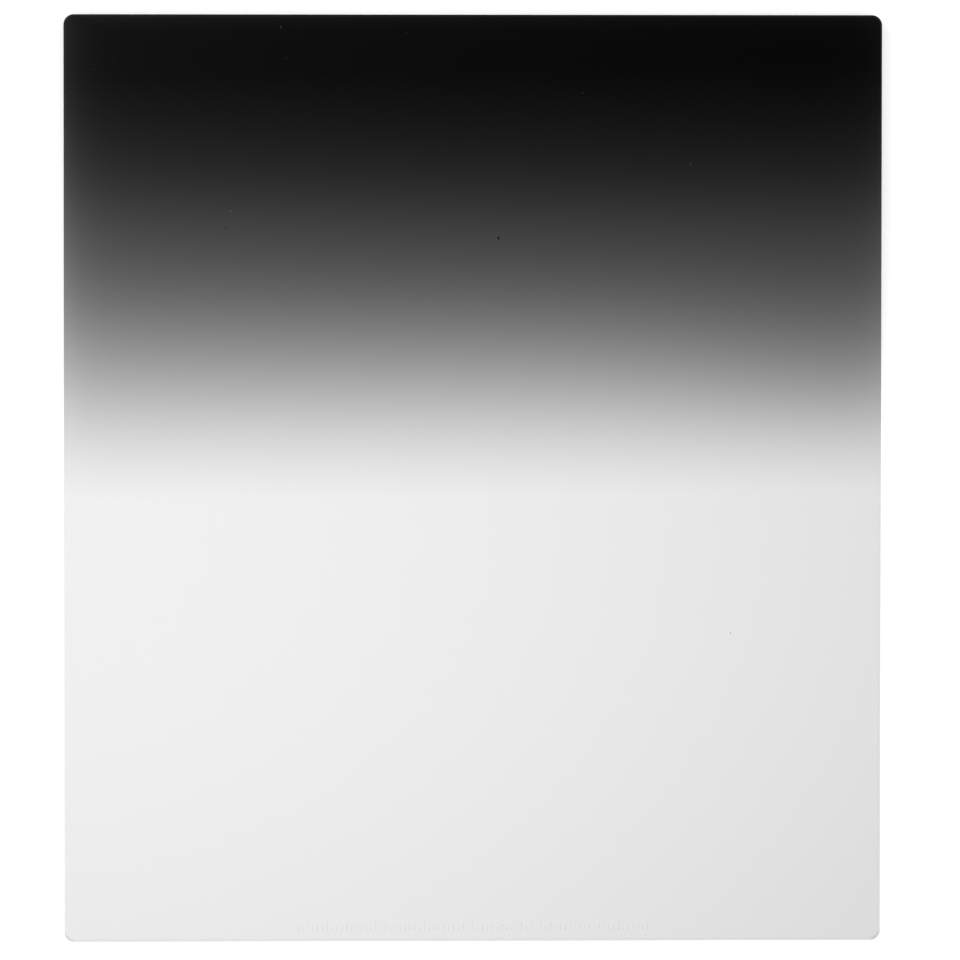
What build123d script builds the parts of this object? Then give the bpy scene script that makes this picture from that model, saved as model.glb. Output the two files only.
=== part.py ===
from build123d import *
import os

# Slot-in graduated camera filter, one plate of cast optical resin, in millimetres.
# It lies on its back face, with the origin at the middle of that face. +Z points out
# of the front face, +X runs across the width, and +Y runs along the height, towards
# the end that is dyed dark.

# Outline, seen from the front
filter_width = 84.0  # sets the fit between the floors of the holder's two slots
filter_height = 95.25
corner_radius = 1.05  # lets the plate start easily into the slots

# Section
plate_thickness = 2.0  # sets the fit in the slots' gap
edge_break = 0.2  # bevel ground at 45 degrees along both faces

# The plate, with its bevel running unbroken along the sides and round the corners
with BuildPart() as filter_plate:
    with BuildSketch(Plane.XY):
        RectangleRounded(filter_width, filter_height, corner_radius)
    extrude(amount=plate_thickness)
    face_outlines = filter_plate.faces().filter_by(Axis.Z).edges()
    chamfer(face_outlines, edge_break)

filter_plate.part.label = "filter_plate"

os.makedirs("parts", exist_ok=True)
export_step(filter_plate.part, "parts/filter_plate.step")
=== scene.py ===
import math
import random

import bmesh
import bpy
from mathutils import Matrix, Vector
from mathutils.geometry import delaunay_2d_cdt


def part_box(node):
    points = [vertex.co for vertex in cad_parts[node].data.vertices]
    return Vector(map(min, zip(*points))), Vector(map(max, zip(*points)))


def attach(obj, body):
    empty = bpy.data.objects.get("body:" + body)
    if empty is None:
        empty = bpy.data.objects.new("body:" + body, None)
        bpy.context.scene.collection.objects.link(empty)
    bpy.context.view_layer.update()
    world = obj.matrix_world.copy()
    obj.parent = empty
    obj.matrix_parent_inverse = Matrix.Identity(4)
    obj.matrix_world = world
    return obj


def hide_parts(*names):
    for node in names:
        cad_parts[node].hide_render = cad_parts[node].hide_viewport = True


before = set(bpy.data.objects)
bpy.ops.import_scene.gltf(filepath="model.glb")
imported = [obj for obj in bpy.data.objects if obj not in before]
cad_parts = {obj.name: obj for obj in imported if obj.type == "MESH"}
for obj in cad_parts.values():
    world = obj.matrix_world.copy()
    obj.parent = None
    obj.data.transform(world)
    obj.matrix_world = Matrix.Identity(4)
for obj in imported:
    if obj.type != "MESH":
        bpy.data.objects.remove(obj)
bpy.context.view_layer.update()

NODE = "filter_plate"
BODY = "root"
MM = 0.001

# The plate. Its outside comes from the CAD node, and the other sizes repeat the CAD source
LOW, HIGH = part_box(NODE)
HALF_WIDTH = (HIGH.x - LOW.x) / 2
HALF_HEIGHT = (HIGH.y - LOW.y) / 2
THICKNESS = HIGH.z - LOW.z
CORNER_RADIUS = 1.05 * MM
EDGE_BREAK = 0.2 * MM
ARRIS_RADIUS = 0.06 * MM  # how far grinding has rounded the bevel's own edges
ARRIS_STEPS = 2
ARC_STEPS = 16
WALL_LEAN = 20  # rim faces that lean less than this many degrees belong to the walls

# The engraved scale along the clear end, with a longer tick at each millimetre and at each fifth
TICK_PITCH = 0.5 * MM
TICKS_EACH_SIDE = 36
TICKS_PER_MILLIMETRE = 2
TICKS_PER_FIVE = 10
TICK_FOOT = 1.1 * MM  # from the plate's lower edge to the foot of each tick
SHORT_TICK = 0.45 * MM
MILLIMETRE_TICK = 0.7 * MM
FIVE_TICK = 1.0 * MM
TICK_WIDTH = 0.09 * MM
TICK_DEPTH = 0.03 * MM

# The dye, as optical density. Its lengths are in millimetres from the plate's middle
DYE_LINE = -1.9  # where the grey begins, just below the middle
DYE_TILT = 0.0127  # how much that line climbs towards the right
DYE_START = 0.0128  # the density that each millimetre adds at first
DYE_SLOPE = 0.0558  # how much more than that each adds in the end
DYE_TOE = 18.82  # how far up half of that slope is reached
DYE_BEND = 2.693  # how sharply the slope comes up there
DYE_LIMIT = 2.534  # the most that the resin takes up
STREAK_SPREAD = 0.006  # unevenness that the surface of the dye bath leaves
STREAK_WAVES = (0.02, 0.5, 0.02)  # for each millimetre along x, y and z, as all waves here

# It took better by the right edge and worse in a faint band. Each pair is a middle and a reach
PATCH_GAIN = 0.241  # the share of density that the patch adds at its middle
PATCH_ACROSS = (40.87, 20.06)
PATCH_ALONG = (7.64, 11.68)
BAND_GAIN = -0.036
BAND_ALONG = (26.32, 4.44)

# Less of it took along three edges. Each pair is the share lost at the edge, and its reach
LEFT_LOSS = (0.2105, 2.12)
LEFT_DRIFT = (0.1734, 49.15)
RIGHT_LOSS = (0.131, 1.72)
TOP_LOSS = (0.1595, 0.87)

# What the resin does with light
CLEAR_SHARE = 0.985  # what undyed resin lets through, apart from its reflections
RESIN_IOR = 1.498
GROUND_IOR = 1.3  # grinding softens the step from air to resin

# The polished faces, with a haze from handling that adds to their roughness
POLISH_ROUGHNESS = 0.01
HAZE_GAIN = 0.12
HAZE_FROM = 0.45  # the level of its noise where it begins
HAZE_WAVES = (0.06, 0.04, 0.06)
HAZE_DETAIL = 5.0

# The ground rim is clear only in part: its skin scatters the rest of the light and looks milky
BEVEL_CLEARNESS = 0.8
BEVEL_ROUGHNESS = 0.4
BEVEL_VEIL = 0.94  # what its skin leaves of the light that comes from inside
BEVEL_SPREAD = 0.1  # unevenness of what it lets through
BEVEL_WAVES = (1.5, 1.5, 1.5)
BEVEL_BUMPS = (0.5, 0.5, 4.0)
BEVEL_BUMP_DEPTH = 0.003 * MM
WALL_CLEARNESS = 0.5
WALL_ROUGHNESS = 0.55
WALL_VEIL = 0.85
WALL_SPREAD = 0.2
WALL_WAVES = (0.3, 0.3, 3.0)
WALL_BUMPS = (0.3, 0.3, 4.0)
WALL_BUMP_DEPTH = 0.006 * MM
FROM_INSIDE = ("Shadow", "Transmission")  # light paths that cross the rim unbent

# What is left of the light where the rim is ground, with painted shade leaving least round the
# corners' outlines
GROUND_SHARE = 0.95
# painted shade: the bevels' colour is darkened round the corners' outlines
PAINTED_CORNER_SHADE_SHARE = 0.42
CORNER_SHADE_ONSET = 0.3  # how far into the corner, in millimetres, that share is reached

# The engraved ticks
ENGRAVED_SHARE = 0.78  # what is left of the light there
ENGRAVED_ROUGHNESS = 0.4
ENGRAVED_BUMPS = (25.0, 25.0, 25.0)
ENGRAVED_BUMP_DEPTH = 0.002 * MM

# Dirt on the front face: place in millimetres, then width and length
DARK_SPECKS = (
    (2.58, 24.72, 0.25, 0.38),
    (26.5, -15.85, 0.045, 0.4),
    (35.22, -12.96, 0.1, 0.07),
    (-25.37, 25.77, 0.17, 0.15),
)
PALE_SPECKS = (
    (22.3, 32.29, 0.11, 0.1),
    (-19.74, 46.32, 0.03, 0.32),
    (11.19, 39.63, 0.09, 0.08),
    (-19.1, 43.11, 0.09, 0.06),
    (-24.88, 27.46, 0.13, 0.12),
    (-6.88, 45.75, 0.06, 0.05),
    (-38.87, 41.99, 0.07, 0.07),
    (16.0, 46.6, 0.05, 0.05),
)
SPECK_FLATNESS = 0.25  # height as a share of width
SPECK_LIFT = 0.35  # how far the middle lies above the face, as a share of that height
SPECK_DENT = 0.75  # the least that a point of it stands out, as a share of its size
DARK_TONE = 0.006
PALE_TONE = 0.16
DIRT_ROUGHNESS = 0.9
DIRT_SHINE = 0.1
DIRT_SPREAD = 0.8
DIRT_WAVES = (30.0, 30.0, 30.0)

# The floor, with how its painted glow falls off under the plate, in millimetres
FLOOR_SIZE = 6.0
FLOOR_GAP = 0.02 * MM
FLOOR_TONE = 0.88
FLOOR_MIRRORED = 0.08  # the share of that tone that reflections show
FLOOR_LIFT = 0.4  # keeps the floor white to the camera while its shadows stay
FIELD_PEAK = 0.969
FIELD_ACROSS = (-51.0, 237.0)  # the middle and the reach of its brightness
FIELD_ALONG = (-5.0, 165.0)
FIELD_MARGIN = 5.0  # how far outside the plate its white is full again

# The room. Its heights are shares of the way up to straight overhead
DOME_LIGHT = 0.75
CEILING = 0.8
SKIRTING = 0.1
MIRRORED_WALLS = 0.7  # how bright the walls are in reflections

# Soft boxes that face the plate: name, place and size in metres, and power in watts
LAMPS = (
    ("key", (-0.62, 0.4, 0.62), 0.5, 2.5),
    ("fill", (0.7, -0.3, 0.6), 0.6, 1.2),
)

# The photograph's camera: place in millimetres, turn in degrees and focal length in pixels
CAMERA_PLACE = (-32.1, 33.2, 885.2)
CAMERA_TURN = (-2.16, -2.125, 0.04)
FOCAL_PIXELS = 8610.5
FRAME_PIXELS = 960
SENSOR_MM = 36.0


class Field:
    """A value at each point of a surface. Its sums, products and powers become Math nodes."""

    def __init__(self, tree, output):
        self.tree = tree
        self.output = output

    def maths(self, operation, *terms):
        """Adds a Math node over numbers and other fields."""
        node = self.tree.nodes.new("ShaderNodeMath")
        node.operation = operation
        for socket, term in zip(node.inputs, terms):
            if isinstance(term, Field):
                self.tree.links.new(term.output, socket)
            else:
                socket.default_value = term
        return Field(self.tree, node.outputs[0])

    def __add__(self, other):
        return self.maths("ADD", self, other)

    def __radd__(self, other):
        return self.maths("ADD", other, self)

    def __sub__(self, other):
        return self.maths("SUBTRACT", self, other)

    def __rsub__(self, other):
        return self.maths("SUBTRACT", other, self)

    def __mul__(self, other):
        return self.maths("MULTIPLY", self, other)

    def __rmul__(self, other):
        return self.maths("MULTIPLY", other, self)

    def __truediv__(self, other):
        return self.maths("DIVIDE", self, other)

    def __pow__(self, other):
        return self.maths("POWER", self, other)

    def __rpow__(self, other):
        return self.maths("POWER", other, self)

    def __abs__(self):
        return self.maths("ABSOLUTE", self)

    def at_least(self, other):
        return self.maths("MAXIMUM", self, other)

    def at_most(self, other):
        return self.maths("MINIMUM", self, other)

    def ramp(self):
        """The value held between 0 and 1."""
        return self.at_least(0.0).at_most(1.0)

    def fading(self, reach):
        """1 at no distance, and falling away over reach."""
        return math.e ** (self * (-1 / reach))

    def hump(self, middle_and_reach):
        """1 at the middle, and falling away smoothly on both sides over reach."""
        middle, reach = middle_and_reach
        return (((self - middle) / reach) ** 2.0).fading(1.0)


def place_mm(tree):
    """Where the point is in the plate's own frame: three fields, in millimetres."""
    place = tree.nodes.new("ShaderNodeTexCoord").outputs["Object"]
    axes = tree.nodes.new("ShaderNodeSeparateXYZ")
    tree.links.new(place, axes.inputs[0])
    return [Field(tree, output) * (1 / MM) for output in axes.outputs]


def noise(tree, waves_per_mm, detail):
    """Smooth noise from 0 to 1, with its own number of waves along each axis."""
    place = tree.nodes.new("ShaderNodeTexCoord").outputs["Object"]
    mapping = tree.nodes.new("ShaderNodeMapping")
    mapping.inputs["Scale"].default_value = [waves / MM for waves in waves_per_mm]
    tree.links.new(place, mapping.inputs["Vector"])
    texture = tree.nodes.new("ShaderNodeTexNoise")
    texture.inputs["Scale"].default_value = 1.0
    texture.inputs["Detail"].default_value = detail
    tree.links.new(mapping.outputs[0], texture.inputs["Vector"])
    return Field(tree, texture.outputs["Fac"])


def uneven(tree, spread, waves_per_mm, detail=1.0):
    """A factor that wanders smoothly round 1, by this spread from its lowest to its highest."""
    return 1.0 + spread * (noise(tree, waves_per_mm, detail) - 0.5)


def lost(distance, loss):
    """The share of the dye that is missing at this distance from an edge."""
    share, reach = loss
    return share * distance.fading(reach)


def dyed_share(tree):
    """What the resin's skin lets through: nearly all where clear, almost none at the dark end."""
    x, y, _ = place_mm(tree)
    from_left = x + HALF_WIDTH / MM
    from_right = HALF_WIDTH / MM - x
    from_top = HALF_HEIGHT / MM - y
    climb = (y - DYE_LINE - DYE_TILT * x).at_least(0.0)
    steepening = climb ** (DYE_BEND - 1.0)
    slope = DYE_SLOPE * steepening / (steepening + DYE_TOE ** (DYE_BEND - 1.0))
    density = climb * (DYE_START + slope)
    patch = PATCH_GAIN * x.hump(PATCH_ACROSS) * y.hump(PATCH_ALONG)
    band = BAND_GAIN * y.hump(BAND_ALONG)
    left_or_top = lost(from_left, LEFT_LOSS).at_least(lost(from_top, TOP_LOSS))
    left = 1.0 - left_or_top - lost(from_left, LEFT_DRIFT)
    right = 1.0 - lost(from_right, RIGHT_LOSS)
    streaks = uneven(tree, STREAK_SPREAD, STREAK_WAVES, detail=3.0)
    taken_up = (density * (1.0 + patch + band)).at_most(DYE_LIMIT) * left * right * streaks
    return CLEAR_SHARE * 10.0 ** (-1.0 * taken_up)


def bevel_share(tree):
    """What dye and grinding leave of the light on the bevels, with painted shade darkening the
    rounded corners.
    """
    x, y, _ = place_mm(tree)
    into_corner_x = (abs(x) - (HALF_WIDTH - CORNER_RADIUS) / MM).at_least(0.0)
    into_corner_y = (abs(y) - (HALF_HEIGHT - CORNER_RADIUS) / MM).at_least(0.0)
    round_corner = (into_corner_x.at_most(into_corner_y) / CORNER_SHADE_ONSET).ramp()
    from_centre = (into_corner_x * into_corner_x + into_corner_y * into_corner_y) ** 0.5
    from_outline = CORNER_RADIUS / MM - from_centre
    # painted shade: darkens the bevels' colour along the corners' outlines
    corner = round_corner * (1.0 - from_outline / (EDGE_BREAK / MM)).ramp()
    ground = GROUND_SHARE - (GROUND_SHARE - PAINTED_CORNER_SHADE_SHARE) * corner
    return dyed_share(tree) * ground * uneven(tree, BEVEL_SPREAD, BEVEL_WAVES)


def wall_share(tree):
    """What dye and grinding leave of the light on the side walls, in faint lines along them."""
    return dyed_share(tree) * GROUND_SHARE * uneven(tree, WALL_SPREAD, WALL_WAVES)


def engraved_share(tree):
    """What dye and engraving leave of the light."""
    return dyed_share(tree) * ENGRAVED_SHARE


def paint(tree, field, socket):
    tree.links.new(field.output, socket)


def ray_is(tree, *kinds):
    """1 for light paths of these kinds, and 0 for the others."""
    path = tree.nodes.new("ShaderNodeLightPath")
    chosen = Field(tree, path.outputs[f"Is {kinds[0]} Ray"])
    for kind in kinds[1:]:
        chosen = chosen.at_least(Field(tree, path.outputs[f"Is {kind} Ray"]))
    return chosen


def resin(name, ior, roughness, share_of, straight=("Shadow",), veil=1.0):
    """A see-through resin, which light paths of the straight kinds cross unbent."""
    material = bpy.data.materials.new(name)
    material.use_nodes = True
    tree = material.node_tree
    shader = tree.nodes["Principled BSDF"]
    shader.inputs["Transmission Weight"].default_value = 1.0
    shader.inputs["IOR"].default_value = ior
    shader.inputs["Roughness"].default_value = roughness
    share = share_of(tree)
    paint(tree, share, shader.inputs["Base Color"])
    passing = tree.nodes.new("ShaderNodeBsdfTransparent")
    paint(tree, veil * share**0.5, passing.inputs["Color"])
    shaded = tree.nodes.new("ShaderNodeMixShader")
    paint(tree, ray_is(tree, *straight), shaded.inputs[0])
    tree.links.new(shader.outputs[0], shaded.inputs[1])
    tree.links.new(passing.outputs[0], shaded.inputs[2])
    tree.links.new(shaded.outputs[0], tree.nodes["Material Output"].inputs["Surface"])
    return material, tree, shader


def roughen(tree, shader, waves_per_mm, depth):
    """Gives a surface fine bumps of this depth."""
    bump = tree.nodes.new("ShaderNodeBump")
    bump.inputs["Strength"].default_value = 1.0
    bump.inputs["Distance"].default_value = depth
    paint(tree, noise(tree, waves_per_mm, detail=1.0), bump.inputs["Height"])
    tree.links.new(bump.outputs[0], shader.inputs["Normal"])


def polished_resin():
    """The two faces: optically flat, with a trace of haze from handling."""
    material, tree, shader = resin("polished_resin", RESIN_IOR, POLISH_ROUGHNESS, dyed_share)
    haze = (noise(tree, HAZE_WAVES, HAZE_DETAIL) - HAZE_FROM).at_least(0.0)
    paint(tree, POLISH_ROUGHNESS + HAZE_GAIN * haze, shader.inputs["Roughness"])
    return material


def ground_bevels_with_painted_corner_shade():
    """The bevels: lapped fine and left satin, with painted shade round the corners' outlines."""
    material, tree, shader = resin(
        "ground_bevels_with_painted_corner_shade",
        GROUND_IOR,
        BEVEL_ROUGHNESS,
        bevel_share,
        straight=FROM_INSIDE,
        veil=BEVEL_VEIL,
    )
    shader.inputs["Transmission Weight"].default_value = BEVEL_CLEARNESS
    roughen(tree, shader, BEVEL_BUMPS, BEVEL_BUMP_DEPTH)
    return material


def ground_walls():
    """The side walls: milled, with the cutter's faint lines along them."""
    material, tree, shader = resin(
        "ground_walls",
        GROUND_IOR,
        WALL_ROUGHNESS,
        wall_share,
        straight=FROM_INSIDE,
        veil=WALL_VEIL,
    )
    shader.inputs["Transmission Weight"].default_value = WALL_CLEARNESS
    roughen(tree, shader, WALL_BUMPS, WALL_BUMP_DEPTH)
    return material


def engraved_resin():
    """The floor of the engraved ticks: frosted."""
    material, tree, shader = resin("engraved_resin", RESIN_IOR, ENGRAVED_ROUGHNESS, engraved_share)
    roughen(tree, shader, ENGRAVED_BUMPS, ENGRAVED_BUMP_DEPTH)
    return material


def dirt(name, tone):
    """Dry dust and lint of one mottled tone."""
    material = bpy.data.materials.new(name)
    material.use_nodes = True
    tree = material.node_tree
    shader = tree.nodes["Principled BSDF"]
    shader.inputs["Roughness"].default_value = DIRT_ROUGHNESS
    shader.inputs["Specular IOR Level"].default_value = DIRT_SHINE
    mottled = tone * uneven(tree, DIRT_SPREAD, DIRT_WAVES, detail=3.0)
    paint(tree, mottled, shader.inputs["Base Color"])
    return material


def rim_profile():
    """Points up the rim, each as its inset from the outline, its height and how far it faces up."""
    bevel_ends = (
        (EDGE_BREAK, 0.0),
        (0.0, EDGE_BREAK),
        (0.0, THICKNESS - EDGE_BREAK),
        (EDGE_BREAK, THICKNESS),
    )
    turn = math.radians(45)
    to_centre = ARRIS_RADIUS / math.cos(turn / 2)
    profile = []
    for count, (inset, height) in enumerate(bevel_ends):
        first = count * turn - math.radians(90)
        middle = first + turn / 2
        centre_inset = inset + to_centre * math.cos(middle)
        centre_height = height - to_centre * math.sin(middle)
        for step in range(ARRIS_STEPS + 1):
            faces_up = first + turn * step / ARRIS_STEPS
            point_inset = centre_inset - ARRIS_RADIUS * math.cos(faces_up)
            point_height = centre_height + ARRIS_RADIUS * math.sin(faces_up)
            profile.append((point_inset, point_height, faces_up))
    return profile


def outline():
    """Points round the plate, anticlockwise, each as a corner's centre and the way out from it."""
    points = []
    centre_x = HALF_WIDTH - CORNER_RADIUS
    centre_y = HALF_HEIGHT - CORNER_RADIUS
    for quarter, (side_x, side_y) in enumerate(((1, 1), (-1, 1), (-1, -1), (1, -1))):
        centre = Vector((side_x * centre_x, side_y * centre_y, 0))
        for step in range(ARC_STEPS + 1):
            angle = math.radians(90) * (quarter + step / ARC_STEPS)
            points.append((centre, Vector((math.cos(angle), math.sin(angle), 0))))
    return points


def ticks():
    """The lowest and highest corner of each tick of the scale, on the plane of the front face."""
    foot = TICK_FOOT - HALF_HEIGHT
    for count in range(-TICKS_EACH_SIDE, TICKS_EACH_SIDE + 1):
        middle = count * TICK_PITCH
        height = SHORT_TICK
        if count % TICKS_PER_MILLIMETRE == 0:
            height = MILLIMETRE_TICK
        if count % TICKS_PER_FIVE == 0:
            height = FIVE_TICK
        yield (middle - TICK_WIDTH / 2, foot), (middle + TICK_WIDTH / 2, foot + height)


class Shell:
    """A mesh in the making, with a material and true surface normals for every face."""

    def __init__(self):
        self.points = []
        self.faces = []
        self.slots = []
        self.normals = []

    def add_point(self, point):
        self.points.append(Vector(point))
        return len(self.points) - 1

    def add_face(self, corners, slot, normals=None):
        """normals has one for each corner. Without them the face is flat."""
        if normals is None:
            a, b, c = (self.points[corner] for corner in corners[:3])
            normals = [(b - a).cross(c - a).normalized()] * len(corners)
        self.faces.append(corners)
        self.slots.append(slot)
        self.normals.extend(normals)

    def build(self, name, materials):
        mesh = bpy.data.meshes.new(name)
        mesh.from_pydata(self.points, [], self.faces)
        for material in materials:
            mesh.materials.append(material)
        mesh.polygons.foreach_set("material_index", self.slots)
        mesh.shade_smooth()
        mesh.normals_split_custom_set(self.normals)
        piece = bpy.data.objects.new(name, mesh)
        bpy.context.scene.collection.objects.link(piece)
        return piece


POLISHED, BEVEL, WALL, ENGRAVED = range(4)


def add_rim(shell):
    """The bevels and walls all round. Returns the lowest and the highest ring of points."""
    way_round = outline()
    profile = rim_profile()
    rings = []
    for inset, height, _ in profile:
        reach = CORNER_RADIUS - inset
        up = Vector((0, 0, height))
        rings.append([shell.add_point(centre + reach * out + up) for centre, out in way_round])

    def normal(ring, place):
        faces_up = profile[ring][2]
        return math.cos(faces_up) * way_round[place][1] + Vector((0, 0, math.sin(faces_up)))

    for ring in range(len(rings) - 1):
        lean = abs(profile[ring][2] + profile[ring + 1][2]) / 2
        slot = WALL if lean < math.radians(WALL_LEAN) else BEVEL
        for place in range(len(way_round)):
            after = (place + 1) % len(way_round)
            corners = ((ring, place), (ring, after), (ring + 1, after), (ring + 1, place))
            normals = [normal(*corner) for corner in corners]
            shell.add_face([rings[r][p] for r, p in corners], slot, normals)
    return rings[0], rings[-1]


def add_tick(shell, corners):
    """A V-shaped cut, with its deepest line along the middle of the tick."""
    low_left, low_right, high_right, high_left = corners
    middle = (shell.points[low_left] + shell.points[low_right]) / 2
    length = shell.points[high_left].y - shell.points[low_left].y
    near_end = shell.add_point(middle + Vector((0, TICK_WIDTH / 2, -TICK_DEPTH)))
    far_end = shell.add_point(middle + Vector((0, length - TICK_WIDTH / 2, -TICK_DEPTH)))
    shell.add_face([low_left, low_right, near_end], ENGRAVED)
    shell.add_face([low_right, high_right, far_end, near_end], ENGRAVED)
    shell.add_face([high_right, high_left, far_end], ENGRAVED)
    shell.add_face([high_left, low_left, near_end, far_end], ENGRAVED)


def add_front(shell, ring):
    """The front face inside its ring of points, with the scale cut into it."""
    flat = [shell.points[corner].xy / MM for corner in ring]
    regions = [list(range(len(ring)))]
    for (left, low), (right, high) in ticks():
        regions.append(list(range(len(flat), len(flat) + 4)))
        corners = ((left, low), (right, low), (right, high), (left, high))
        flat += [Vector(corner) / MM for corner in corners]
    inside_regions = 1
    finest = 1e-5
    cut = delaunay_2d_cdt(flat, [], regions, inside_regions, finest)
    points, _, faces, sources, _, owners = cut
    known = {}
    for found, came_from in enumerate(sources):
        if came_from[0] < len(ring):
            known[found] = ring[came_from[0]]
        else:
            known[found] = shell.add_point((*(points[found] * MM), THICKNESS))
    for face, regions_over in zip(faces, owners):
        if regions_over == [0]:
            shell.add_face([known[corner] for corner in face], POLISHED)
    place_of = {came_from[0]: known[found] for found, came_from in enumerate(sources)}
    for region in regions[1:]:
        add_tick(shell, [place_of[corner] for corner in region])


def make_plate():
    """The filter: the shape of the CAD node, with its engraved scale and finely rounded bevels."""
    shell = Shell()
    back_ring, front_ring = add_rim(shell)
    shell.add_face(back_ring[::-1], POLISHED)
    add_front(shell, front_ring)
    materials = [polished_resin(), ground_bevels_with_painted_corner_shade(), ground_walls(), engraved_resin()]
    plate = shell.build("graduated_filter", materials)
    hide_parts(NODE)
    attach(plate, BODY)


def make_specks(name, specks, material, seed):
    """Grains and lint lying on the front face, each an uneven flattened lump."""
    chance = random.Random(seed)
    lumps = bmesh.new()
    for x, y, width, length in specks:
        grain = bmesh.ops.create_icosphere(lumps, subdivisions=2, radius=0.5)["verts"]
        size = Vector((width, length, SPECK_FLATNESS * width)) * MM
        middle = Vector((x * MM, y * MM, THICKNESS + SPECK_LIFT * size.z))
        for vertex in grain:
            vertex.co = middle + chance.uniform(SPECK_DENT, 1.0) * vertex.co * size
    mesh = bpy.data.meshes.new(name)
    lumps.to_mesh(mesh)
    lumps.free()
    mesh.shade_smooth()
    mesh.materials.append(material)
    piece = bpy.data.objects.new(name, mesh)
    bpy.context.scene.collection.objects.link(piece)
    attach(piece, BODY)


def light_field(tree):
    """Painted light: how bright the floor glows through the plate, brightest past its left edge."""
    x, y, _ = place_mm(tree)
    under_plate = FIELD_PEAK * x.hump(FIELD_ACROSS) * y.hump(FIELD_ALONG)
    outside = (abs(x) - HALF_WIDTH / MM).at_least(abs(y) - HALF_HEIGHT / MM)
    return under_plate.at_least((outside / FIELD_MARGIN).ramp())


def glowing(tree, strength):
    node = tree.nodes.new("ShaderNodeEmission")
    node.inputs["Color"].default_value = (1, 1, 1, 1)
    paint(tree, strength, node.inputs["Strength"])
    return node.outputs[0]


def make_floor():
    """A pale floor under the plate. It keeps shadows, and through the resin it shows an unshadowed
    painted glow that falls off.
    """
    material = bpy.data.materials.new("floor")
    material.use_nodes = True
    tree = material.node_tree
    shader = tree.nodes["Principled BSDF"]
    camera = ray_is(tree, "Camera")
    mirrored = ray_is(tree, "Glossy")
    tone = FLOOR_TONE - FLOOR_TONE * (1.0 - FLOOR_MIRRORED) * mirrored
    paint(tree, tone, shader.inputs["Base Color"])
    shader.inputs["Roughness"].default_value = 1.0
    shader.inputs["Specular IOR Level"].default_value = 0.0
    lifted = tree.nodes.new("ShaderNodeAddShader")
    tree.links.new(shader.outputs[0], lifted.inputs[0])
    tree.links.new(glowing(tree, FLOOR_LIFT * camera), lifted.inputs[1])
    seen = tree.nodes.new("ShaderNodeMixShader")
    paint(tree, ray_is(tree, "Transmission"), seen.inputs[0])
    tree.links.new(lifted.outputs[0], seen.inputs[1])
    # painted light: through the resin the floor shows a glow with a painted falloff, not its lit
    # colour
    tree.links.new(glowing(tree, light_field(tree)), seen.inputs[2])
    tree.links.new(seen.outputs[0], tree.nodes["Material Output"].inputs["Surface"])

    bpy.ops.mesh.primitive_plane_add(size=FLOOR_SIZE, location=(0, 0, -FLOOR_GAP))
    floor = bpy.context.object
    floor.name = "floor"
    floor.data.materials.append(material)


def make_world():
    """A white room. Its ceiling is dark in the resin, and in reflections its skirting is too."""
    world = bpy.data.worlds.new("studio")
    bpy.context.scene.world = world
    world.use_nodes = True
    tree = world.node_tree
    direction = tree.nodes.new("ShaderNodeTexCoord").outputs["Generated"]
    axes = tree.nodes.new("ShaderNodeSeparateXYZ")
    tree.links.new(direction, axes.inputs[0])
    height = Field(tree, axes.outputs["Z"])
    walls = 1.0 - (height / CEILING).ramp() ** 2.0
    above_skirting = ((height - SKIRTING) / SKIRTING).ramp()
    camera = ray_is(tree, "Camera")
    through = ray_is(tree, "Transmission")
    mirrored = ray_is(tree, "Glossy") * (1.0 - through)
    others = 1.0 - camera.at_least(through).at_least(mirrored)
    reflected = MIRRORED_WALLS * walls * above_skirting
    strength = camera + through * walls + mirrored * reflected + others * DOME_LIGHT
    background = tree.nodes["Background"]
    background.inputs["Color"].default_value = (1, 1, 1, 1)
    paint(tree, strength, background.inputs["Strength"])


def make_lamp(name, place, size, power):
    """A soft box that faces the middle of the plate."""
    data = bpy.data.lights.new(name, "AREA")
    data.shape = "SQUARE"
    data.size = size
    data.energy = power
    lamp = bpy.data.objects.new(name, data)
    lamp.location = place
    lamp.rotation_euler = (-Vector(place)).to_track_quat("-Z", "Y").to_euler()
    bpy.context.scene.collection.objects.link(lamp)


def make_camera():
    """The photograph's own view, almost straight down."""
    data = bpy.data.cameras.new("camera")
    data.sensor_width = SENSOR_MM
    data.lens = FOCAL_PIXELS * SENSOR_MM / FRAME_PIXELS
    camera = bpy.data.objects.new("camera", data)
    camera.location = Vector(CAMERA_PLACE) * MM
    camera.rotation_euler = [math.radians(turn) for turn in CAMERA_TURN]
    bpy.context.scene.collection.objects.link(camera)
    bpy.context.scene.camera = camera


make_plate()
make_specks("dark_specks", DARK_SPECKS, dirt("dark_dirt", DARK_TONE), seed=1)
make_specks("pale_specks", PALE_SPECKS, dirt("pale_dirt", PALE_TONE), seed=2)
make_floor()
make_world()
for lamp in LAMPS:
    make_lamp(*lamp)
make_camera()
bpy.context.scene.view_settings.view_transform = "Standard"
